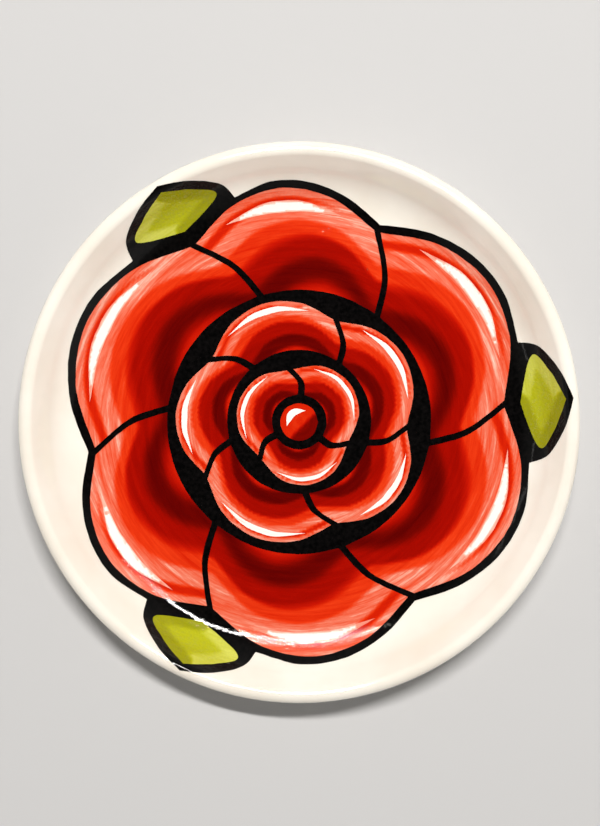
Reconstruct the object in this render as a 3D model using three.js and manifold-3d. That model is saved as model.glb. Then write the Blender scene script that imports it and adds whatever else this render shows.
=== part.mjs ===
// Hand painted ceramic plate: one fired clay body with the coats of its painted rose.
// Millimetres, +Z up, origin under the middle of the foot ring, painting upright along +Y.
import * as THREE from 'three';
import { mergeVertices } from 'three/addons/utils/BufferGeometryUtils.js';
import Module from 'manifold-3d';

// Driving dimensions of the plate.
const PLATE_RADIUS = 80;
const PLATE_HEIGHT = 20;
const LIP_RADIUS = 2.4;
const WELL_RADIUS = 60;
const WALL_BEND_RADIUS = 15;
const WALL_ANGLE = THREE.MathUtils.degToRad(52);
const FOOT_OUTER_RADIUS = 45;
const FOOT_INNER_RADIUS = 40;
const FOOT_HEIGHT = 2.6;
const FOOT_CHAMFER = 0.6;

// Driving dimensions of the paint.
const COAT_GAP = 0.12;
const COAT_THICKNESS = 0.3;
const LIGHT_THICKNESS = 0.2;
const EDGE_GAP = 0.28;

// How finely the round shapes are cut.
const TURN_STEPS = 48;
const BEND_STEPS = 3;
const LIP_STEPS = 4;
const BACK_STEPS = 4;
const OUTLINE_STEP = 6;
const MERGE_DISTANCE = 1e-4;

const GLAZE_ROUGHNESS = 0.15;

// Sizes worked out from the driving dimensions.
const WALL_THICKNESS = 2 * LIP_RADIUS;
const LIP_CENTRE_RADIUS = PLATE_RADIUS - LIP_RADIUS;
const LIP_CENTRE_HEIGHT = PLATE_HEIGHT - LIP_RADIUS;
const WALL_TOP_RADIUS = LIP_CENTRE_RADIUS - LIP_RADIUS * Math.sin(WALL_ANGLE);
const WALL_TOP_HEIGHT = LIP_CENTRE_HEIGHT + LIP_RADIUS * Math.cos(WALL_ANGLE);
const BEND_TOP_RADIUS = WELL_RADIUS + WALL_BEND_RADIUS * Math.sin(WALL_ANGLE);
const BEND_TOP_HEIGHT = WALL_TOP_HEIGHT - (WALL_TOP_RADIUS - BEND_TOP_RADIUS) * Math.tan(WALL_ANGLE);
const BEND_CENTRE_HEIGHT = BEND_TOP_HEIGHT + WALL_BEND_RADIUS * Math.cos(WALL_ANGLE);
const WELL_HEIGHT = BEND_CENTRE_HEIGHT - WALL_BEND_RADIUS;

// Driving dimensions of the rose: rings of petals round a bud. A ring's petals run from one radius to
// another and bulge beyond it, and turn is where its first petal starts, in degrees from +X.
const LINE_WIDTH = 2;
const BUD_RADIUS = 5.5;
const PETAL_LEAN = 14;
const RINGS = [
  { name: 'inner', count: 3, from: 8, to: 15.5, bulge: 3, turn: 100 },
  { name: 'middle', count: 5, from: 21, to: 31.5, bulge: 4.5, turn: 70 },
  { name: 'outer', count: 6, from: 38.5, to: 60, bulge: 8, turn: 5 },
];
const LEAF_BASE = 64.5;
const LEAF_TIP = 76;
const LEAF_HALF_ANGLE = 11;
const LEAF_NOTCH = 15;
const LIGHT_START = 0.2;
const LIGHT_SHARE = 0.16;
const SWAY = 4;
const SWAY_RHYTHM = 2.4;
const QUARTERS = [0, 0.25, 0.5, 0.75];
const BUD_POINTS = [0, 45, 90, 135, 180, 225, 270, 315];

function polar(radius, degrees) {
  const angle = THREE.MathUtils.degToRad(degrees);
  return [radius * Math.cos(angle), radius * Math.sin(angle)];
}

// The angle that half a black line takes up at a radius.
function halfLine(radius) {
  return THREE.MathUtils.radToDeg(LINE_WIDTH / 2 / radius);
}

// Where one petal of a ring starts at its outer edge: even steps with a little sway, as drawn by hand.
function startOf(ring, index) {
  const sway = index % ring.count === 0 ? 0 : SWAY * Math.sin(SWAY_RHYTHM * index);
  return ring.turn + (360 * index) / ring.count + sway;
}

// The radius of the outer edge of a petal, a share of the way along it.
function outerEdge(ring, share) {
  return ring.to + ring.bulge * Math.sin(Math.PI * share);
}

// An outline is a ring of edges. An edge starts at its own corner and curves through its other
// points to the corner that starts the next edge.
function petalOutline(ring, index) {
  const start = startOf(ring, index);
  const end = startOf(ring, index + 1);
  const between = (radius, share) => {
    const gap = halfLine(radius);
    const lean = (PETAL_LEAN * (ring.to - radius)) / (ring.to - ring.from);
    return start + gap + (end - start - 2 * gap) * share - lean;
  };
  const middle = (ring.from + ring.to) / 2;
  return [
    QUARTERS.map((share) => polar(outerEdge(ring, share), between(ring.to, share))),
    [polar(ring.to, between(ring.to, 1)), polar(middle, between(middle, 1) - halfLine(middle))],
    QUARTERS.map((share) => polar(ring.from, between(ring.from, 1 - share))),
    [polar(ring.from, between(ring.from, 0)), polar(middle, between(middle, 0) - halfLine(middle))],
  ];
}

// A crescent of light a little inside the outer edge of a petal.
function lightOutline(ring, index) {
  const start = startOf(ring, index);
  const end = startOf(ring, index + 1);
  const height = ring.to - ring.from;
  const point = (along, depth) => {
    const share = LIGHT_START + (1 - 2 * LIGHT_START) * along;
    const inset = height * (LIGHT_SHARE + depth * LIGHT_SHARE * Math.sin(Math.PI * along));
    return polar(outerEdge(ring, share) - inset, start + (end - start) * share);
  };
  return [
    [0, 0.3, 0.5, 0.7].map((along) => point(along, 0)),
    [1, 0.7, 0.5, 0.3].map((along) => point(along, 1)),
  ];
}

// A pointed leaf that looks out of the notch between two outer petals.
function leafOutline(direction) {
  const low = LEAF_BASE + 0.45 * (LEAF_TIP - LEAF_BASE);
  const high = LEAF_BASE + 0.75 * (LEAF_TIP - LEAF_BASE);
  return [
    [
      polar(LEAF_BASE, direction),
      polar(low, direction + LEAF_HALF_ANGLE),
      polar(high, direction + 0.6 * LEAF_HALF_ANGLE),
    ],
    [
      polar(LEAF_TIP, direction),
      polar(high, direction - 0.6 * LEAF_HALF_ANGLE),
      polar(low, direction - LEAF_HALF_ANGLE),
    ],
  ];
}

const outerRing = RINGS[RINGS.length - 1];
const PETALS = {};
const LIGHTS = {};
for (const ring of RINGS) {
  for (let index = 0; index < ring.count; index += 1) {
    PETALS[`${ring.name}_petal_${index + 1}`] = petalOutline(ring, index);
    LIGHTS[`${ring.name}_light_${index + 1}`] = lightOutline(ring, index);
  }
}
PETALS.bud = [BUD_POINTS.map((degrees) => polar(BUD_RADIUS, degrees))];
LIGHTS.bud_light = [
  [polar(0.7 * BUD_RADIUS, 200), polar(0.75 * BUD_RADIUS, 150), polar(0.75 * BUD_RADIUS, 110)],
  [polar(0.7 * BUD_RADIUS, 60), polar(0.4 * BUD_RADIUS, 110), polar(0.4 * BUD_RADIUS, 150)],
];
const LEAVES = {};
for (let index = 0; index < outerRing.count; index += 2) {
  LEAVES[`leaf_${index / 2 + 1}`] = leafOutline(startOf(outerRing, index));
}

// The outer edge of the whole painting: a line's width beyond the petals, and out round each leaf.
const SILHOUETTE = [];
for (let index = 0; index < outerRing.count; index += 1) {
  const start = startOf(outerRing, index);
  const end = startOf(outerRing, index + 1);
  const leafy = index % 2 === 0;
  if (leafy) {
    const low = LEAF_BASE + 0.65 * (LEAF_TIP - LEAF_BASE);
    const high = LEAF_BASE + 0.94 * (LEAF_TIP - LEAF_BASE);
    SILHOUETTE.push([
      polar(LEAF_BASE + 1.6 * LINE_WIDTH, start - LEAF_NOTCH),
      polar(low, start - 1.15 * LEAF_HALF_ANGLE),
      polar(high, start - 0.6 * LEAF_HALF_ANGLE),
    ]);
    SILHOUETTE.push([
      polar(LEAF_TIP + LINE_WIDTH, start),
      polar(high, start + 0.6 * LEAF_HALF_ANGLE),
      polar(low, start + 1.15 * LEAF_HALF_ANGLE),
    ]);
  }
  const from = leafy ? LEAF_NOTCH / (end - start) : 0;
  const to = leafy ? 1 : 1 - LEAF_NOTCH / (end - start);
  SILHOUETTE.push(
    QUARTERS.map((along) => {
      const share = from + (to - from) * along;
      return polar(outerEdge(outerRing, share) + LINE_WIDTH, start + (end - start) * share);
    }),
  );
}

const wasm = await Module();
wasm.setup();

// The points of an arc in the plane of the profile, first and last angle included.
function arc(centreRadius, centreHeight, radius, from, to, steps) {
  const points = [];
  for (let i = 0; i <= steps; i += 1) {
    const angle = from + ((to - from) * i) / steps;
    points.push([centreRadius + radius * Math.sin(angle), centreHeight - radius * Math.cos(angle)]);
  }
  return points;
}

// The painted side of the profile, from the middle out over the crest of the lip.
function faceProfile() {
  const bend = arc(WELL_RADIUS, BEND_CENTRE_HEIGHT, WALL_BEND_RADIUS, 0, WALL_ANGLE, BEND_STEPS);
  const lip = arc(
    LIP_CENTRE_RADIUS,
    LIP_CENTRE_HEIGHT,
    LIP_RADIUS,
    Math.PI + WALL_ANGLE,
    Math.PI - WALL_ANGLE,
    LIP_STEPS,
  );
  return [[0, WELL_HEIGHT], ...bend, ...lip];
}

// The back of the profile, from the outer side of the lip down to the foot and the middle.
function backProfile() {
  const crestEnd = Math.PI - WALL_ANGLE;
  const backRadius = WALL_BEND_RADIUS + WALL_THICKNESS;
  const lip = arc(LIP_CENTRE_RADIUS, LIP_CENTRE_HEIGHT, LIP_RADIUS, crestEnd, WALL_ANGLE, LIP_STEPS);
  const bend = arc(WELL_RADIUS, BEND_CENTRE_HEIGHT, backRadius, WALL_ANGLE, 0, BACK_STEPS);
  return [
    ...lip.slice(1),
    ...bend,
    [FOOT_OUTER_RADIUS, FOOT_HEIGHT],
    [FOOT_OUTER_RADIUS, FOOT_CHAMFER],
    [FOOT_OUTER_RADIUS - FOOT_CHAMFER, 0],
    [FOOT_INNER_RADIUS + FOOT_CHAMFER, 0],
    [FOOT_INNER_RADIUS, FOOT_CHAMFER],
    [FOOT_INNER_RADIUS, FOOT_HEIGHT],
    [0, FOOT_HEIGHT],
  ];
}

// A lathe about the Z axis from a profile of [radius, height] pairs given top to bottom.
function turned(profile) {
  const points = profile.map(([radius, height]) => new THREE.Vector2(radius, height));
  const geometry = new THREE.LatheGeometry(points.reverse(), TURN_STEPS);
  geometry.rotateX(Math.PI / 2);
  return geometry;
}

function toManifold(geometry) {
  const plain = geometry.clone();
  plain.deleteAttribute('normal');
  plain.deleteAttribute('uv');
  const merged = mergeVertices(plain, MERGE_DISTANCE);
  return new wasm.Manifold(
    new wasm.Mesh({
      numProp: 3,
      vertProperties: new Float32Array(merged.attributes.position.array),
      triVerts: new Uint32Array(merged.index.array),
    }),
  );
}

function toGeometry(manifold) {
  const mesh = manifold.getMesh();
  const geometry = new THREE.BufferGeometry();
  geometry.setAttribute('position', new THREE.BufferAttribute(new Float32Array(mesh.vertProperties), 3));
  geometry.setIndex(new THREE.BufferAttribute(new Uint32Array(mesh.triVerts), 1));
  return geometry;
}

// The coat is a thin turned shell that follows the face of the plate.
function coatShell(lift, thickness) {
  const face = faceProfile();
  const top = face.map(([radius, height]) => [radius, height + lift + thickness]);
  const bottom = face.map(([radius, height]) => [radius, height + lift]).reverse();
  return toManifold(turned([...top, ...bottom]));
}

// The closed run of points along an outline, curved between its corners.
function outlinePoints(outline) {
  const points = [];
  outline.forEach((edge, index) => {
    const end = outline[(index + 1) % outline.length][0];
    const stops = [...edge, end].map(([x, y]) => new THREE.Vector2(x, y));
    const curve = new THREE.SplineCurve(stops);
    const steps = edge.length === 1 ? 1 : Math.max(edge.length, Math.round(curve.getLength() / OUTLINE_STEP));
    for (let i = 0; i < steps; i += 1) points.push(curve.getPoint(i / steps));
  });
  return points;
}

// An upright prism over an outline, tall enough to pass right through the coat.
function prism(points) {
  const geometry = new THREE.ExtrudeGeometry(new THREE.Shape(points), {
    depth: 2 * PLATE_HEIGHT,
    bevelEnabled: false,
  });
  return toManifold(geometry);
}

// A strip along the closed run of points; cutting it away leaves the gap between two coats.
function edgeStrip(points) {
  const pieces = points.map((start, index) => {
    const end = points[(index + 1) % points.length];
    const length = start.distanceTo(end);
    const box = new THREE.BoxGeometry(length + 2 * EDGE_GAP, 2 * EDGE_GAP, 2 * PLATE_HEIGHT);
    box.rotateZ(Math.atan2(end.y - start.y, end.x - start.x));
    box.translate((start.x + end.x) / 2, (start.y + end.y) / 2, PLATE_HEIGHT);
    return toManifold(box);
  });
  return wasm.Manifold.union(pieces);
}

const group = new THREE.Group();

function addNode(name, geometry, colour) {
  const look = { color: colour, roughness: GLAZE_ROUGHNESS, metalness: 0 };
  const mesh = new THREE.Mesh(geometry, new THREE.MeshStandardMaterial(look));
  mesh.name = name;
  group.add(mesh);
}

// The biggest body of a cut, so that a nicked-off crumb at a thin tip is left out.
function biggest(manifold) {
  return manifold.decompose().sort((a, b) => b.volume() - a.volume())[0];
}

// Areas of colour, each kept clear of the black line around it.
function addColour(outlines, shell, colour) {
  for (const [name, outline] of Object.entries(outlines)) {
    const points = outlinePoints(outline);
    const coat = shell.intersect(prism(points)).subtract(edgeStrip(points));
    addNode(name, toGeometry(biggest(coat)), colour);
  }
}

const CREAM_GLAZE = '#f4eadd';
const RED_PAINT = '#cc2408';
const GREEN_PAINT = '#b4b424';
const BLACK_PAINT = '#070606';
const WHITE_PAINT = '#fbf7f2';

addNode('plate_body', toGeometry(toManifold(turned([...faceProfile(), ...backProfile()]))), CREAM_GLAZE);

const colourShell = coatShell(COAT_GAP, COAT_THICKNESS);
addColour(PETALS, colourShell, RED_PAINT);
addColour(LEAVES, colourShell, GREEN_PAINT);

// The black line is all of the painting that is not a petal or a leaf.
const colourHoles = [...Object.values(PETALS), ...Object.values(LEAVES)].map((outline) =>
  prism(outlinePoints(outline)),
);
const blackLine = colourShell
  .intersect(prism(outlinePoints(SILHOUETTE)))
  .subtract(wasm.Manifold.union(colourHoles));
addNode('black_linework', toGeometry(biggest(blackLine)), BLACK_PAINT);

// The lights are a second coat laid over the petals.
const lightShell = coatShell(2 * COAT_GAP + COAT_THICKNESS, LIGHT_THICKNESS);
for (const [name, outline] of Object.entries(LIGHTS)) {
  addNode(name, toGeometry(biggest(lightShell.intersect(prism(outlinePoints(outline))))), WHITE_PAINT);
}

export default group;
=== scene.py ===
"""Hand painted ceramic plate: the glazed body and the brushed coats of a generic outlined rose.

Metres, +Z up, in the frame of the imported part. The painting is drawn in design millimetres, for a
plate of 80 mm radius seen face on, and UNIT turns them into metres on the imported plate.
"""

import math
from collections import namedtuple

import bpy
import numpy as np
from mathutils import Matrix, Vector, kdtree, noise
from mathutils.geometry import delaunay_2d_cdt


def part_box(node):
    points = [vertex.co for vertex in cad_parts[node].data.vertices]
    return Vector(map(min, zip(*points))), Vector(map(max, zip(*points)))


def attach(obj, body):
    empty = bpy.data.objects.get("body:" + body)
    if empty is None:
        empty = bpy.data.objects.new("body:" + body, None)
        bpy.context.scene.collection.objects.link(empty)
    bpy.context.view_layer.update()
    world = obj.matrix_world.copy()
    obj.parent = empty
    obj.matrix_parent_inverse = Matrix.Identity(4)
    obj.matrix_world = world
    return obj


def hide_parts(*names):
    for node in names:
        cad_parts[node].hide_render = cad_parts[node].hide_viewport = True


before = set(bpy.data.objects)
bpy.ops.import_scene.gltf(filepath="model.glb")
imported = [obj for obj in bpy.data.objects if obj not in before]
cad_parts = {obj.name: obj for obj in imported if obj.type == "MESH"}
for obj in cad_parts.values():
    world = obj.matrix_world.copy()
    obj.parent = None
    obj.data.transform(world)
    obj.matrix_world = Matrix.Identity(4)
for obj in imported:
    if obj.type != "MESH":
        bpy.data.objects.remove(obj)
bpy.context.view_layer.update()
body_low, body_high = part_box("plate_body")

# Driving dimensions in design millimetres.
PLATE_RADIUS = 80.0
UNIT = (body_high.x - body_low.x) / 2 / PLATE_RADIUS
PLATE_HEIGHT = (body_high.z - body_low.z) / UNIT
LIP_RADIUS = 0.03 * PLATE_RADIUS
WELL_RADIUS = 0.75 * PLATE_RADIUS
WALL_BEND_RADIUS = 15.0
WALL_ANGLE = math.radians(52)
FOOT_OUTER_RADIUS = 45.0
FOOT_INNER_RADIUS = 40.0
FOOT_HEIGHT = 2.6
FOOT_EDGE_RADIUS = 0.6
FOOT_ROOT_RADIUS = 1.5

# Sizes of the face that follow from them.
WALL_THICKNESS = 2 * LIP_RADIUS
LIP_CENTRE_RADIUS = PLATE_RADIUS - LIP_RADIUS
LIP_CENTRE_HEIGHT = PLATE_HEIGHT - LIP_RADIUS
WALL_TOP_RADIUS = LIP_CENTRE_RADIUS - LIP_RADIUS * math.sin(WALL_ANGLE)
WALL_TOP_HEIGHT = LIP_CENTRE_HEIGHT + LIP_RADIUS * math.cos(WALL_ANGLE)
BEND_TOP_RADIUS = WELL_RADIUS + WALL_BEND_RADIUS * math.sin(WALL_ANGLE)
BEND_TOP_HEIGHT = WALL_TOP_HEIGHT - (WALL_TOP_RADIUS - BEND_TOP_RADIUS) * math.tan(WALL_ANGLE)
BEND_CENTRE_HEIGHT = BEND_TOP_HEIGHT + WALL_BEND_RADIUS * math.cos(WALL_ANGLE)
WELL_HEIGHT = BEND_CENTRE_HEIGHT - WALL_BEND_RADIUS

# Bottom and top of each kind of coat above the face.
COLOUR_COAT = (-0.05, 0.09)
LIGHT_COAT = (0.03, 0.14)
LINE_COAT = (0.02, 0.19)

# How finely the painting is cut, and how far a colour runs on below the black line round it.
OUTLINE_STEP = 0.5
GRID_STEP = 0.8
LIP_GRID_STEP = 0.4
LIP_ZONE = 0.93 * PLATE_RADIUS
UNDER_LINE = 0.35
WOBBLE = 0.09
WOBBLE_LENGTH = 2.6
WOBBLE_SEED = 1
noise.seed_set(WOBBLE_SEED)

# How finely the clay body is turned.
TURN_STEPS = 192
WELL_STEPS = 20
BEND_STEPS = 14
LIP_STEPS = 18
BACK_STEPS = 12
FOOT_STEPS = 5

# The camera looks straight down. Its height and shift are in design millimetres.
CAMERA_LENS = 63.1
CAMERA_HEIGHT = 430.0
CAMERA_SHIFT_X = 0.23
CAMERA_SHIFT_Y = 2.6
FLOOR_REACH = 3.0

# The glaze's gloss, and how high up the wall the paint has become grainy.
COAT_ROUGHNESS = 0.04
GRAIN_RISE = 0.8

# The rose: rings of petals round a bud. A ring's petals run from one radius to another and bulge
# beyond it, and turn is where its first petal starts, in degrees from +X.
Ring = namedtuple("Ring", "name count start end bulge turn")
RINGS = (
    Ring("inner", 3, 8, 15.5, 3, 100),
    Ring("middle", 5, 21, 31.5, 4.5, 70),
    Ring("outer", 6, 38.5, 60, 8, 5),
)
OUTER_RING = RINGS[-1]
LINE_WIDTH = 2.0
BUD_RADIUS = 5.5
PETAL_LEAN = 14
LEAF_BASE = 64.5
LEAF_TIP = 76
LEAF_HALF_ANGLE = 11
LEAF_NOTCH = 15
LIGHT_START = 0.2
LIGHT_SHARE = 0.16
SWAY = 4
SWAY_RHYTHM = 2.4
QUARTERS = (0, 0.25, 0.5, 0.75)

# How a petal is shaded: tones from maroon at its root to salmon at its outer edge, each with the
# depth below that edge and the reach of its stroke as shares of the petal's height. Tone 0 is
# maroon, 0.5 red, 0.8 salmon and 1 white.
PETAL_TONE = 0.52
PETAL_STROKES = (
    (0.06, 1.0, 0.4),
    (0.3, 0.78, 0.24),
    (0.62, 0.48, 0.16),
    (0.8, 0.3, 0.15),
    (0.8, 0.0, 0.14),
)

# How far the tone drops at the edge of a light. A stroke of less reach than SOFT_REACH keeps its tone
# over FIRM_SHARE of its reach, and a longer one over SOFT_SHARE.
EDGE_DROP_TONE = 0.13
SOFT_REACH = 4.8
FIRM_SHARE = 0.62
SOFT_SHARE = 0.25


def polar(radius, degrees):
    """The place at a radius and an angle from +X."""
    angle = math.radians(degrees)
    return radius * math.cos(angle), radius * math.sin(angle)


def start_of(ring, index):
    """Where a petal starts at its outer edge: even steps with a little sway, as drawn by hand."""
    sway = SWAY * math.sin(SWAY_RHYTHM * index) if index % ring.count else 0
    return ring.turn + 360 * index / ring.count + sway


def outer_edge(ring, share):
    """The radius of a petal's outer edge, a share of the way along it."""
    return ring.end + ring.bulge * math.sin(math.pi * share)


def half_line(radius):
    """The angle that half a black line takes up at a radius."""
    return math.degrees(LINE_WIDTH / 2 / radius)


def petal_outline(ring, index):
    """An outline is a ring of edges; each starts at its own corner and curves to the next one."""
    start, finish = start_of(ring, index), start_of(ring, index + 1)

    def between(radius, share):
        gap = half_line(radius)
        lean = PETAL_LEAN * (ring.end - radius) / (ring.end - ring.start)
        return start + gap + (finish - start - 2 * gap) * share - lean

    middle = (ring.start + ring.end) / 2
    return [
        [polar(outer_edge(ring, share), between(ring.end, share)) for share in QUARTERS],
        [polar(ring.end, between(ring.end, 1)), polar(middle, between(middle, 1) - half_line(middle))],
        [polar(ring.start, between(ring.start, 1 - share)) for share in QUARTERS],
        [polar(ring.start, between(ring.start, 0)), polar(middle, between(middle, 0) - half_line(middle))],
    ]


def light_outline(ring, index):
    """A crescent a little inside the outer edge of a petal."""
    start, finish = start_of(ring, index), start_of(ring, index + 1)

    def point(along, depth):
        share = LIGHT_START + (1 - 2 * LIGHT_START) * along
        inset = (ring.end - ring.start) * LIGHT_SHARE * (1 + depth * math.sin(math.pi * along))
        return polar(outer_edge(ring, share) - inset, start + (finish - start) * share)

    outer = [point(along, 0) for along in (0, 0.3, 0.5, 0.7)]
    inner = [point(along, 1) for along in (1, 0.7, 0.5, 0.3)]
    return [outer, inner]


def leaf_outline(direction):
    """A pointed leaf that looks out of the notch between two outer petals."""
    low = LEAF_BASE + 0.45 * (LEAF_TIP - LEAF_BASE)
    high = LEAF_BASE + 0.75 * (LEAF_TIP - LEAF_BASE)
    half, narrow = LEAF_HALF_ANGLE, 0.6 * LEAF_HALF_ANGLE
    return [
        [polar(LEAF_BASE, direction), polar(low, direction + half), polar(high, direction + narrow)],
        [polar(LEAF_TIP, direction), polar(high, direction - narrow), polar(low, direction - half)],
    ]


def silhouette():
    """The outer edge of the painting: a line's width beyond the petals, and out round each leaf."""
    edges = []
    low = LEAF_BASE + 0.65 * (LEAF_TIP - LEAF_BASE)
    high = LEAF_BASE + 0.94 * (LEAF_TIP - LEAF_BASE)
    wide, narrow = 1.15 * LEAF_HALF_ANGLE, 0.6 * LEAF_HALF_ANGLE
    for index in range(OUTER_RING.count):
        start, finish = start_of(OUTER_RING, index), start_of(OUTER_RING, index + 1)
        leafy = index % 2 == 0
        if leafy:
            foot = polar(LEAF_BASE + 1.6 * LINE_WIDTH, start - LEAF_NOTCH)
            tip = polar(LEAF_TIP + LINE_WIDTH, start)
            edges.append([foot, polar(low, start - wide), polar(high, start - narrow)])
            edges.append([tip, polar(high, start + narrow), polar(low, start + wide)])
        first = LEAF_NOTCH / (finish - start) if leafy else 0
        last = 1 if leafy else 1 - LEAF_NOTCH / (finish - start)
        shares = [first + (last - first) * along for along in QUARTERS]
        edges.append([
            polar(outer_edge(OUTER_RING, share) + LINE_WIDTH, start + (finish - start) * share)
            for share in shares
        ])
    return edges


def petal_strokes(ring, index):
    """The strokes that shade a petal, each an arc that runs along it."""
    start, finish = start_of(ring, index), start_of(ring, index + 1)
    height = ring.end - ring.start
    strokes = []
    for tone, depth, reach in PETAL_STROKES:
        lean = PETAL_LEAN * depth
        path = [
            polar(outer_edge(ring, share) - depth * height, start + (finish - start) * share - lean)
            for share in (*QUARTERS, 1)
        ]
        strokes.append((tone, reach * height, path))
    return strokes


PLACES = [(ring, index) for ring in RINGS for index in range(ring.count)]
LEAFY_NOTCHES = range(0, OUTER_RING.count, 2)
PETALS = {f"{ring.name}_petal_{index + 1}": petal_outline(ring, index) for ring, index in PLACES}
PETAL_BRUSH = {
    f"{ring.name}_petal_{index + 1}": ((0, 0), PETAL_TONE, petal_strokes(ring, index))
    for ring, index in PLACES
}
PETALS["bud"] = [[polar(BUD_RADIUS, 45 * step) for step in range(8)]]
PETAL_BRUSH["bud"] = ((0, 0), 0.56, [(0.15, 3, [(0, -BUD_RADIUS), (BUD_RADIUS, 0)])])
LEAVES = {f"leaf_{index // 2 + 1}": leaf_outline(start_of(OUTER_RING, index)) for index in LEAFY_NOTCHES}
LEAF_BRUSH = {name: ((0, 0), 0.5, [(0.8, 3, 0), (0.2, 3, 1)]) for name in LEAVES}
LIGHTS = {f"{ring.name}_light_{index + 1}": light_outline(ring, index) for ring, index in PLACES}
LIGHTS["bud_light"] = [
    [polar(share * BUD_RADIUS, angle) for share, angle in ((0.7, 200), (0.75, 150), (0.75, 110))],
    [polar(share * BUD_RADIUS, angle) for share, angle in ((0.7, 60), (0.4, 110), (0.4, 150))],
]
LIGHT_BRUSH = {name: ((0, 0), 1.0, 0.7 if name.startswith("outer") else 0, []) for name in LIGHTS}
SILHOUETTE = silhouette()


def srgb(red, green, blue):
    """A linear colour from screen values out of 255."""
    linear = [((v / 255 + 0.055) / 1.055) ** 2.4 if v > 10 else v / 255 / 12.92 for v in (red, green, blue)]
    return (*linear, 1.0)


RED_STOPS = [
    (0.0, srgb(84, 0, 0)),
    (0.15, srgb(118, 5, 0)),
    (0.3, srgb(160, 9, 0)),
    (0.44, srgb(192, 20, 3)),
    (0.56, srgb(214, 36, 6)),
    (0.66, srgb(232, 60, 20)),
    (0.74, srgb(234, 86, 54)),
    (0.83, srgb(238, 124, 98)),
    (0.91, srgb(250, 190, 170)),
    (0.97, srgb(255, 250, 244)),
]
GREEN_STOPS = [
    (0.0, srgb(138, 138, 18)),
    (0.3, srgb(164, 164, 24)),
    (0.55, srgb(184, 186, 32)),
    (1.0, srgb(216, 218, 100)),
]


def smooth_step(low, high, value):
    """Goes smoothly from 0 at low to 1 at high."""
    t = np.clip((value - low) / (high - low), 0, 1)
    return t * t * (3 - 2 * t)


def face_height(radius):
    """Height of the glazed face above the table at a radius, in design millimetres."""
    radius = np.asarray(radius, float)
    into_bend = np.clip(radius - WELL_RADIUS, 0, BEND_TOP_RADIUS - WELL_RADIUS)
    bend = BEND_CENTRE_HEIGHT - np.sqrt(WALL_BEND_RADIUS**2 - into_bend**2)
    wall = np.clip(radius - BEND_TOP_RADIUS, 0, WALL_TOP_RADIUS - BEND_TOP_RADIUS) * math.tan(WALL_ANGLE)
    from_lip = np.clip(radius, WALL_TOP_RADIUS, PLATE_RADIUS) - LIP_CENTRE_RADIUS
    lip = LIP_CENTRE_HEIGHT + np.sqrt(np.maximum(LIP_RADIUS**2 - from_lip**2, 0))
    return np.where(radius < WALL_TOP_RADIUS, bend + wall, lip)


def spline(stops, step):
    """Points along a Catmull-Rom curve through the stops, without the last stop."""
    stops = np.array(stops, float)
    if len(stops) == 2:
        count = max(1, round(float(np.linalg.norm(stops[1] - stops[0])) / step))
        return [stops[0] + (stops[1] - stops[0]) * i / count for i in range(count)]
    padded = np.vstack([stops[:1], stops, stops[-1:]])
    points = []
    for a, b, c, d in zip(padded, padded[1:], padded[2:], padded[3:]):
        count = max(1, round(float(np.linalg.norm(c - b)) / step))
        for i in range(count):
            t = i / count
            v0, v1 = (c - a) / 2, (d - b) / 2
            points.append(
                (2 * b - 2 * c + v0 + v1) * t**3 + (3 * c - 3 * b - 2 * v0 - v1) * t**2 + v0 * t + b
            )
    return points


def edge_path(outline, index):
    """The stops of one edge with the corner that it runs to."""
    return list(outline[index]) + [outline[(index + 1) % len(outline)][0]]


def hand_drawn(points):
    """The points moved a little to and fro, as a hand holds a brush."""
    moved = []
    for x, y in points:
        shift = noise.noise_vector(Vector((x / WOBBLE_LENGTH, y / WOBBLE_LENGTH, 0)))
        moved.append((x + WOBBLE * shift.x, y + WOBBLE * shift.y))
    return np.array(moved)


def ring_of(outline):
    """The closed ring of points along an outline."""
    points = []
    for index in range(len(outline)):
        points += spline(edge_path(outline, index), OUTLINE_STEP)
    return hand_drawn(points)


def signed_area(ring):
    """The area within a ring, above 0 where it runs anticlockwise."""
    after = np.roll(ring, -1, axis=0)
    return float(np.sum(ring[:, 0] * after[:, 1] - after[:, 0] * ring[:, 1])) / 2


def spread(ring, distance):
    """The ring moved outwards by a distance, for a coat that runs on below its black line."""
    before, after = np.roll(ring, 1, axis=0), np.roll(ring, -1, axis=0)
    along = after - before
    along /= np.maximum(np.linalg.norm(along, axis=1, keepdims=True), 1e-9)
    outwards = np.stack([along[:, 1], -along[:, 0]], axis=1) * math.copysign(1, signed_area(ring))
    return ring + outwards * distance


def inside(points, ring):
    """Which points lie within a ring, by counting crossings."""
    x, y = points[:, 0], points[:, 1]
    within = np.zeros(len(points), bool)
    after = np.roll(ring, -1, axis=0)
    for (x0, y0), (x1, y1) in zip(ring, after):
        if y0 == y1:
            continue
        crosses = (y0 > y) != (y1 > y)
        within ^= crosses & (x < (x1 - x0) * (y - y0) / (y1 - y0) + x0)
    return within


def distance_to(points, path):
    """Distance of each point from a path of straight pieces."""
    best = np.full(len(points), np.inf)
    for start, end in zip(path, path[1:]):
        along = end - start
        share = np.clip((points - start) @ along / max(along @ along, 1e-12), 0, 1)
        best = np.minimum(best, np.linalg.norm(points - start - share[:, None] * along, axis=1))
    return best


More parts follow.
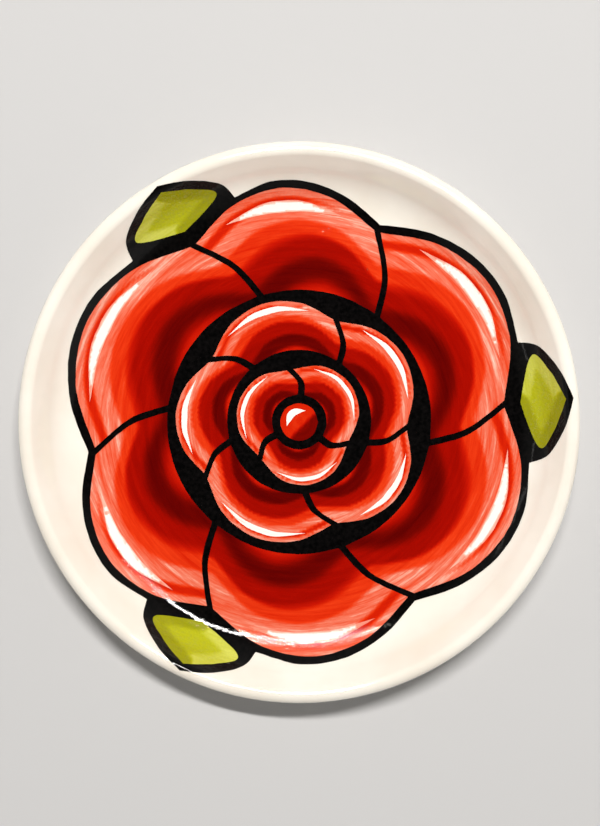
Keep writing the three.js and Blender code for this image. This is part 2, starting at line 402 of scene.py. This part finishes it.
def grid_points(ring, keep_off):
    """Staggered grid points over a ring, clear of the edge points, and closer on the curved lip."""
    tree = kdtree.KDTree(len(keep_off))
    for index, (x, y) in enumerate(keep_off):
        tree.insert((x, y, 0), index)
    tree.balance()
    low, high = ring.min(axis=0), ring.max(axis=0)
    found = []
    for step, nearest, furthest in ((GRID_STEP, 0, LIP_ZONE), (LIP_GRID_STEP, LIP_ZONE, PLATE_RADIUS)):
        rows = np.arange(low[1], high[1], step * math.sqrt(3) / 2)
        points = np.array([
            (x, y)
            for index, y in enumerate(rows)
            for x in np.arange(low[0] + (index % 2) * step / 2, high[0], step)
            if nearest <= math.hypot(x, y) < furthest
        ]).reshape(-1, 2)
        points = points[inside(points, ring)]
        found += [(x, y) for x, y in points if tree.find((x, y, 0))[2] > 0.7 * step]
    return np.array(found).reshape(-1, 2)


def triangles(rings, keep):
    """Triangulates the rings with grid points between them, keeping triangles whose middle passes."""
    flat = np.vstack(rings)
    extra = grid_points(rings[0], flat)
    edges, start = [], 0
    for ring in rings:
        count = len(ring)
        edges += [(start + i, start + (i + 1) % count) for i in range(count)]
        start += count
    every = [Vector((float(x), float(y))) for x, y in np.vstack([flat, extra])]
    points, _, faces, _, _, _ = delaunay_2d_cdt(every, edges, [], 0, 1e-5)
    points = np.array([(p.x, p.y) for p in points])
    faces = np.array(faces)
    faces = faces[keep(points[faces].mean(axis=1))]
    used, faces = np.unique(faces, return_inverse=True)
    return points[used], faces.reshape(-1, 3)


def film(name, node, points, faces, coat):
    """A closed film over the face, from the flat points and triangles of its shape."""
    a, b, c = (points[faces[:, i]] for i in range(3))
    turned = (b[:, 0] - a[:, 0]) * (c[:, 1] - a[:, 1]) - (b[:, 1] - a[:, 1]) * (c[:, 0] - a[:, 0]) < 0
    faces[turned] = faces[turned][:, ::-1]
    count = len(points)
    height = face_height(np.hypot(points[:, 0], points[:, 1]))
    top = np.column_stack([points, height + coat[1]])
    under = np.column_stack([points, height + coat[0]])
    borders = {}
    for face in faces:
        for start, end in zip(face, np.roll(face, -1)):
            borders[(int(start), int(end))] = True
    sides = [
        (start, start + count, end + count, end)
        for start, end in borders
        if (end, start) not in borders
    ]
    mesh = bpy.data.meshes.new(name)
    polygons = [tuple(map(int, f)) for f in faces]
    polygons += [tuple(int(i) + count for i in f[::-1]) for f in faces]
    mesh.from_pydata((np.vstack([top, under]) * UNIT).tolist(), [], polygons + sides)
    mesh.polygons.foreach_set("use_smooth", np.ones(len(mesh.polygons), bool))
    crisp = {tuple(sorted(pair)) for side in sides for pair in zip(side, side[1:] + side[:1])}
    for edge in mesh.edges:
        edge.use_edge_sharp = tuple(sorted(edge.vertices)) in crisp
    mesh.update()
    piece = bpy.data.objects.new(name, mesh)
    bpy.context.collection.objects.link(piece)
    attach(piece, "root")
    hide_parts(node)
    return piece


def brush(piece, points, outline, centre, wash, strokes, edge_drop=0.0, ring=None):
    """Stores the tone at every point and the run of the brush: along it, across it and a seed."""
    tone = np.full(len(points), float(wash))
    for stroke_tone, reach, path in strokes:
        stops = edge_path(outline, path) if isinstance(path, int) else path
        line = np.array(spline(stops, 1.0) + [np.array(stops[-1], float)])
        firm = FIRM_SHARE if reach < SOFT_REACH else SOFT_SHARE
        weight = 1 - smooth_step(firm * reach, reach, distance_to(points, line))
        tone = tone * (1 - weight) + stroke_tone * weight
    if edge_drop:
        closed = np.vstack([ring, ring[:1]])
        weight = 1 - smooth_step(0, edge_drop, distance_to(points, closed))
        tone = tone - EDGE_DROP_TONE * weight
    away = points - np.array(centre, float)
    radius = np.hypot(away[:, 0], away[:, 1])
    angle = np.arctan2(away[:, 1], away[:, 0])
    mean_angle = math.atan2(np.sin(angle).mean(), np.cos(angle).mean())
    angle = (angle - mean_angle + math.pi) % (2 * math.pi) - math.pi
    seed = (sum(map(ord, piece.name)) * 7.31) % 97
    flow = np.column_stack([angle * radius.mean(), radius, np.full(len(points), seed)])
    store(piece, "tone", "FLOAT", np.tile(tone, 2))
    store(piece, "flow", "FLOAT_VECTOR", np.vstack([flow, flow]))


def store(piece, name, kind, values):
    """Keeps a value or a vector at every vertex of a piece, for its material to read."""
    attribute = piece.data.attributes.new(name, kind, "POINT")
    field = "value" if kind == "FLOAT" else "vector"
    attribute.data.foreach_set(field, np.asarray(values, np.float32).ravel())


def node(tree, kind, **settings):
    """A shader node with its settings and the values of its inputs."""
    made = tree.nodes.new(kind)
    for name, value in settings.items():
        if name in made.inputs.keys():
            made.inputs[name].default_value = value
        else:
            setattr(made, name, value)
    return made


def new_material(name, roughness, coat):
    """A material with its tree and shader; coat is how much clear glaze lies over it."""
    material = bpy.data.materials.new(name)
    material.use_nodes = True
    tree = material.node_tree
    shader = tree.nodes["Principled BSDF"]
    shader.inputs["Roughness"].default_value = roughness
    shader.inputs["Specular IOR Level"].default_value = 0.0
    shader.inputs["Coat Weight"].default_value = coat
    shader.inputs["Coat Roughness"].default_value = COAT_ROUGHNESS
    shader.inputs["Coat IOR"].default_value = 1.5
    return material, tree, shader


def set_ramp(ramp, stops):
    """Fills a colour ramp with (position, colour) stops."""
    while len(ramp.elements) > 1:
        ramp.elements.remove(ramp.elements[-1])
    ramp.elements[0].position, ramp.elements[0].color = stops[0]
    for position, colour in stops[1:]:
        ramp.elements.new(position).color = colour


def streaks(tree, stretch, scale, detail):
    """Brush streaks: noise drawn out along the run of the brush."""
    flow = node(tree, "ShaderNodeAttribute", attribute_name="flow")
    mapping = node(tree, "ShaderNodeMapping", Scale=(stretch, 1.0, 1.0))
    noise_node = node(tree, "ShaderNodeTexNoise", Scale=scale, Detail=detail, Roughness=0.62)
    tree.links.new(flow.outputs["Vector"], mapping.inputs["Vector"])
    tree.links.new(mapping.outputs["Vector"], noise_node.inputs["Vector"])
    return noise_node.outputs["Fac"]


def scaled(tree, value, middle, amount):
    """(value - middle) * amount."""
    less = node(tree, "ShaderNodeMath", operation="SUBTRACT")
    less.inputs[1].default_value = middle
    times = node(tree, "ShaderNodeMath", operation="MULTIPLY")
    times.inputs[1].default_value = amount
    tree.links.new(value, less.inputs[0])
    tree.links.new(less.outputs[0], times.inputs[0])
    return times.outputs[0]


def added(tree, first, second):
    """The sum of two values."""
    total = node(tree, "ShaderNodeMath", operation="ADD")
    tree.links.new(first, total.inputs[0])
    tree.links.new(second, total.inputs[1])
    return total.outputs[0]


def bumped(tree, shader, height, distance):
    """Gives the surface and the glaze over it a relief; distance is the height's full depth."""
    bump = node(tree, "ShaderNodeBump", Strength=1.0, Distance=distance)
    tree.links.new(height, bump.inputs["Height"])
    tree.links.new(bump.outputs["Normal"], shader.inputs["Normal"])
    tree.links.new(bump.outputs["Normal"], shader.inputs["Coat Normal"])


def enamel(name, stops, spread_of_tone):
    """Brushed enamel: its colour follows the tone, broken up by broad and fine streaks."""
    material, tree, shader = new_material(name, 0.38, 1.0)
    tone = node(tree, "ShaderNodeAttribute", attribute_name="tone")
    broad = streaks(tree, 0.05, 0.55, 2.0)
    fine = streaks(tree, 0.1, 2.4, 3.0)
    shift = added(
        tree,
        scaled(tree, broad, 0.5, 1.6 * spread_of_tone),
        scaled(tree, fine, 0.5, 0.9 * spread_of_tone),
    )
    rising = node(tree, "ShaderNodeMapRange")
    rising.inputs["From Min"].default_value = 0.55
    rising.inputs["From Max"].default_value = 0.8
    rising.inputs["To Min"].default_value = 0.5
    rising.inputs["To Max"].default_value = 1.2
    tree.links.new(tone.outputs["Fac"], rising.inputs["Value"])
    loaded = node(tree, "ShaderNodeMath", operation="MULTIPLY")
    tree.links.new(shift, loaded.inputs[0])
    tree.links.new(rising.outputs["Result"], loaded.inputs[1])
    ramp = node(tree, "ShaderNodeValToRGB")
    set_ramp(ramp.color_ramp, stops)
    tree.links.new(added(tree, tone.outputs["Fac"], loaded.outputs[0]), ramp.inputs["Fac"])
    tree.links.new(ramp.outputs["Color"], shader.inputs["Base Color"])
    bumped(tree, shader, added(tree, scaled(tree, fine, 0.5, 0.2), slope_grit(tree)), 0.12 * UNIT)
    tree.links.new(broken_glaze(tree), shader.inputs["Coat Weight"])
    return material


def slope_of(tree, flat, sloping):
    """A value that goes from flat, over the well, to sloping, up the wall."""
    place = node(tree, "ShaderNodeTexCoord")
    parts = node(tree, "ShaderNodeSeparateXYZ")
    rise = node(tree, "ShaderNodeMapRange")
    rise.inputs["From Min"].default_value = WELL_HEIGHT * UNIT
    rise.inputs["From Max"].default_value = (WELL_HEIGHT + GRAIN_RISE) * UNIT
    rise.inputs["To Min"].default_value = flat
    rise.inputs["To Max"].default_value = sloping
    tree.links.new(place.outputs["Object"], parts.inputs["Vector"])
    tree.links.new(parts.outputs["Z"], rise.inputs["Value"])
    return rise.outputs["Result"]


def product(tree, first, second):
    """The product of two values."""
    times = node(tree, "ShaderNodeMath", operation="MULTIPLY")
    tree.links.new(first, times.inputs[0])
    tree.links.new(second, times.inputs[1])
    return times.outputs[0]


def slope_grit(tree):
    """Paint that dried in grains: a trace of them on the flat, and coarse ones on the wall."""
    return product(tree, grain_of(tree, 1300, 1.0), slope_of(tree, 0.1, 0.95))


def broken_glaze(tree):
    """How much glaze lies over the paint: whole on the flat, and in specks that glitter on the wall."""
    gaps = node(tree, "ShaderNodeMapRange")
    gaps.inputs["From Min"].default_value = 0.5
    gaps.inputs["From Max"].default_value = 0.57
    gaps.inputs["To Min"].default_value = -0.95
    gaps.inputs["To Max"].default_value = 0.0
    tree.links.new(grain_of(tree, 1500, 0.0), gaps.inputs["Value"])
    lost = product(tree, gaps.outputs["Result"], slope_of(tree, 0.0, 1.0))
    whole = node(tree, "ShaderNodeMath", operation="ADD")
    whole.inputs[1].default_value = 1.0
    tree.links.new(lost, whole.inputs[0])
    return whole.outputs[0]


def line_enamel():
    """Thick black line enamel, pooled smooth, a little greyer where it is thin."""
    material, tree, shader = new_material("line_enamel", 0.5, 0.45)
    grain = grain_of(tree, 900, 4.0)
    ramp = node(tree, "ShaderNodeValToRGB")
    set_ramp(ramp.color_ramp, [(0.35, srgb(3, 3, 3)), (0.75, srgb(16, 14, 14))])
    tree.links.new(grain, ramp.inputs["Fac"])
    tree.links.new(ramp.outputs["Color"], shader.inputs["Base Color"])
    bumped(tree, shader, grain, 0.03 * UNIT)
    return material


def grain_of(tree, scale, detail):
    """Even noise over the surface, in the object's own coordinates."""
    place = node(tree, "ShaderNodeTexCoord")
    noise_node = node(tree, "ShaderNodeTexNoise", Scale=scale, Detail=detail, Roughness=0.55)
    tree.links.new(place.outputs["Object"], noise_node.inputs["Vector"])
    return noise_node.outputs["Fac"]


def cream_glaze():
    """Clear glaze over a cream white body: faint clouds of tone and a soft waviness."""
    material, tree, shader = new_material("cream_glaze", 0.3, 1.0)
    clouds = grain_of(tree, 45, 3.0)
    ramp = node(tree, "ShaderNodeValToRGB")
    set_ramp(ramp.color_ramp, [(0.3, srgb(244, 236, 223)), (0.7, srgb(253, 248, 238))])
    tree.links.new(clouds, ramp.inputs["Fac"])
    tree.links.new(ramp.outputs["Color"], shader.inputs["Base Color"])
    bumped(tree, shader, grain_of(tree, 220, 1.0), 0.01 * UNIT)
    return material


def bare_clay():
    """The wiped foot ring: fired clay without glaze, matt and speckled."""
    material, tree, shader = new_material("bare_clay", 0.85, 0.0)
    specks = grain_of(tree, 1400, 5.0)
    ramp = node(tree, "ShaderNodeValToRGB")
    set_ramp(ramp.color_ramp, [(0.3, srgb(196, 176, 150)), (0.6, srgb(222, 205, 182))])
    tree.links.new(specks, ramp.inputs["Fac"])
    tree.links.new(ramp.outputs["Color"], shader.inputs["Base Color"])
    bumped(tree, shader, specks, 0.05 * UNIT)
    return material


def arc(centre_radius, centre_height, radius, first, last, steps):
    """Profile points round an arc; an angle of 0 is straight down and 90 degrees is outwards."""
    angles = np.linspace(first, last, steps + 1)
    return [(centre_radius + radius * math.sin(a), centre_height - radius * math.cos(a)) for a in angles]


def body_profile():
    """The whole profile of the clay body, from the middle of the face round to the middle of the back."""
    face = [(r, WELL_HEIGHT) for r in np.linspace(WELL_RADIUS / WELL_STEPS, WELL_RADIUS, WELL_STEPS)[:-1]]
    bend = arc(WELL_RADIUS, BEND_CENTRE_HEIGHT, WALL_BEND_RADIUS, 0, WALL_ANGLE, BEND_STEPS)
    lip_start = math.pi + WALL_ANGLE
    lip = arc(LIP_CENTRE_RADIUS, LIP_CENTRE_HEIGHT, LIP_RADIUS, lip_start, WALL_ANGLE, LIP_STEPS)
    back_radius = WALL_BEND_RADIUS + WALL_THICKNESS
    back = arc(WELL_RADIUS, BEND_CENTRE_HEIGHT, back_radius, WALL_ANGLE, 0, BACK_STEPS)
    under = BEND_CENTRE_HEIGHT - back_radius
    root = arc(
        FOOT_OUTER_RADIUS + FOOT_ROOT_RADIUS, under - FOOT_ROOT_RADIUS, FOOT_ROOT_RADIUS,
        math.pi, 1.5 * math.pi, FOOT_STEPS
    )
    outer_edge = arc(
        FOOT_OUTER_RADIUS - FOOT_EDGE_RADIUS, FOOT_EDGE_RADIUS, FOOT_EDGE_RADIUS, math.pi / 2, 0, FOOT_STEPS
    )
    inner_edge = arc(
        FOOT_INNER_RADIUS + FOOT_EDGE_RADIUS, FOOT_EDGE_RADIUS, FOOT_EDGE_RADIUS, 0, -math.pi / 2, FOOT_STEPS
    )
    inner_root = arc(
        FOOT_INNER_RADIUS - FOOT_ROOT_RADIUS, FOOT_HEIGHT - FOOT_ROOT_RADIUS, FOOT_ROOT_RADIUS,
        math.pi / 2, math.pi, FOOT_STEPS
    )
    floor = [(r, FOOT_HEIGHT) for r in np.linspace(FOOT_INNER_RADIUS - 2 * FOOT_ROOT_RADIUS, 2, 8)]
    return face + bend + lip + back[1:] + root + outer_edge + inner_edge + inner_root + floor


def build_body(glaze, clay):
    """Turns the profile round the axis, glazed everywhere but on the foot."""
    profile = body_profile()
    steps = TURN_STEPS
    angles = [2 * math.pi * i / steps for i in range(steps)]
    points = [(0, 0, WELL_HEIGHT)]
    points += [(r * math.cos(a), r * math.sin(a), z) for r, z in profile for a in angles]
    points.append((0, 0, FOOT_HEIGHT))
    last = len(points) - 1
    polygons = [(0, 1 + i, 1 + (i + 1) % steps) for i in range(steps)]
    for row in range(len(profile) - 1):
        near, far = 1 + row * steps, 1 + (row + 1) * steps
        for i in range(steps):
            j = (i + 1) % steps
            polygons.append((near + i, far + i, far + j, near + j))
    final = 1 + (len(profile) - 1) * steps
    polygons += [(last, final + (i + 1) % steps, final + i) for i in range(steps)]
    mesh = bpy.data.meshes.new("glazed_body")
    mesh.from_pydata((np.array(points) * UNIT).tolist(), [], polygons)
    mesh.materials.append(glaze)
    mesh.materials.append(clay)
    for polygon in mesh.polygons:
        radius = math.hypot(polygon.center.x, polygon.center.y) / UNIT
        low = polygon.center.z / UNIT < 1.5 * FOOT_EDGE_RADIUS
        polygon.material_index = int(low and radius < FOOT_OUTER_RADIUS + FOOT_EDGE_RADIUS)
        polygon.use_smooth = True
    mesh.update()
    body = bpy.data.objects.new("glazed_body", mesh)
    bpy.context.collection.objects.link(body)
    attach(body, "root")
    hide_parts("plate_body")


def build_colours(outlines, brushes, material):
    """One film for each area of colour."""
    for name, outline in outlines.items():
        ring = spread(ring_of(outline), UNDER_LINE)
        points, faces = triangles([ring], lambda middles: inside(middles, ring))
        piece = film(name.replace("_", "-") + "-coat", name, points, faces, COLOUR_COAT)
        centre, wash, strokes = brushes[name]
        brush(piece, points, outline, centre, wash, strokes)
        piece.data.materials.append(material)


def build_lights(material):
    """One raised touch for each light."""
    for name, outline in LIGHTS.items():
        ring = ring_of(outline)
        points, faces = triangles([ring], lambda middles: inside(middles, ring))
        piece = film(name.replace("_", "-") + "-touch", name, points, faces, LIGHT_COAT)
        centre, wash, edge_drop, strokes = LIGHT_BRUSH[name]
        brush(piece, points, outline, centre, wash, strokes, edge_drop, ring)
        piece.data.materials.append(material)


def build_lines(material):
    """The black network: everything within the silhouette that no area of colour covers."""
    rings = [ring_of(SILHOUETTE)]
    rings += [ring_of(outline) for outline in (*PETALS.values(), *LEAVES.values())]

    def keep(middles):
        drawn = inside(middles, rings[0])
        for ring in rings[1:]:
            drawn &= ~inside(middles, ring)
        return drawn

    points, faces = triangles(rings, keep)
    piece = film("black-lines", "black_linework", points, faces, LINE_COAT)
    piece.data.materials.append(material)


def build_floor():
    """A plain pale floor under the plate."""
    corners = ((-1, -1), (1, -1), (1, 1), (-1, 1))
    mesh = bpy.data.meshes.new("floor")
    mesh.from_pydata([(x * FLOOR_REACH, y * FLOOR_REACH, body_low.z) for x, y in corners], [], [(0, 1, 2, 3)])
    material, _, shader = new_material("pale_floor", 0.9, 0.0)
    shader.inputs["Base Color"].default_value = srgb(206, 206, 207)
    mesh.materials.append(material)
    floor = bpy.data.objects.new("floor", mesh)
    bpy.context.collection.objects.link(floor)


def add_softbox(name, place, size, power, colour=(1.0, 0.97, 0.93)):
    """A rectangular light at a place, facing the plate; size is its width and depth."""
    data = bpy.data.lights.new(name, "AREA")
    data.shape = "RECTANGLE"
    data.size, data.size_y = size
    data.energy = power
    data.color = colour
    light = bpy.data.objects.new(name, data)
    light.location = place
    light.rotation_euler = (-Vector(place)).to_track_quat("-Z", "Y").to_euler()
    bpy.context.collection.objects.link(light)


def set_world():
    """Soft surroundings, dark straight above so that the flat of the plate mirrors nothing bright."""
    world = bpy.data.worlds.new("studio")
    world.use_nodes = True
    tree = world.node_tree
    place = node(tree, "ShaderNodeTexCoord")
    parts = node(tree, "ShaderNodeSeparateXYZ")
    ramp = node(tree, "ShaderNodeValToRGB")
    set_ramp(ramp.color_ramp, [
        (0.0, (0.55, 0.54, 0.52, 1)),
        (0.3, (0.34, 0.33, 0.32, 1)),
        (0.72, (0.22, 0.22, 0.21, 1)),
        (0.93, (0.02, 0.02, 0.02, 1)),
    ])
    tree.links.new(place.outputs["Generated"], parts.inputs["Vector"])
    tree.links.new(parts.outputs["Z"], ramp.inputs["Fac"])
    tree.links.new(ramp.outputs["Color"], tree.nodes["Background"].inputs["Color"])
    bpy.context.scene.world = world


def add_camera():
    """Looks straight down from reading distance, with the plate a little above the frame's middle."""
    data = bpy.data.cameras.new("camera")
    data.sensor_width = 36.0
    data.lens = CAMERA_LENS
    camera = bpy.data.objects.new("camera", data)
    camera.location = (CAMERA_SHIFT_X * UNIT, CAMERA_SHIFT_Y * UNIT, body_low.z + CAMERA_HEIGHT * UNIT)
    bpy.context.collection.objects.link(camera)
    bpy.context.scene.camera = camera


red_enamel = enamel("red_enamel", RED_STOPS, 0.22)
green_enamel = enamel("green_enamel", GREEN_STOPS, 0.3)
light_enamel = enamel("light_enamel", RED_STOPS, 0.12)
build_body(cream_glaze(), bare_clay())
build_colours(PETALS, PETAL_BRUSH, red_enamel)
build_colours(LEAVES, LEAF_BRUSH, green_enamel)
build_lights(light_enamel)
build_lines(line_enamel())

build_floor()
set_world()
add_softbox("overhead_strip", (0.08, 0.42, 1.15), (0.44, 0.045), 15.0)
add_softbox("left_strip", (-1.2, 0.1, 0.85), (1.3, 0.05), 0.6)
add_softbox("right_softbox", (1.2, -0.5, 0.9), (1.3, 1.3), 1.6)
add_camera()
bpy.context.scene.view_settings.view_transform = "Standard"
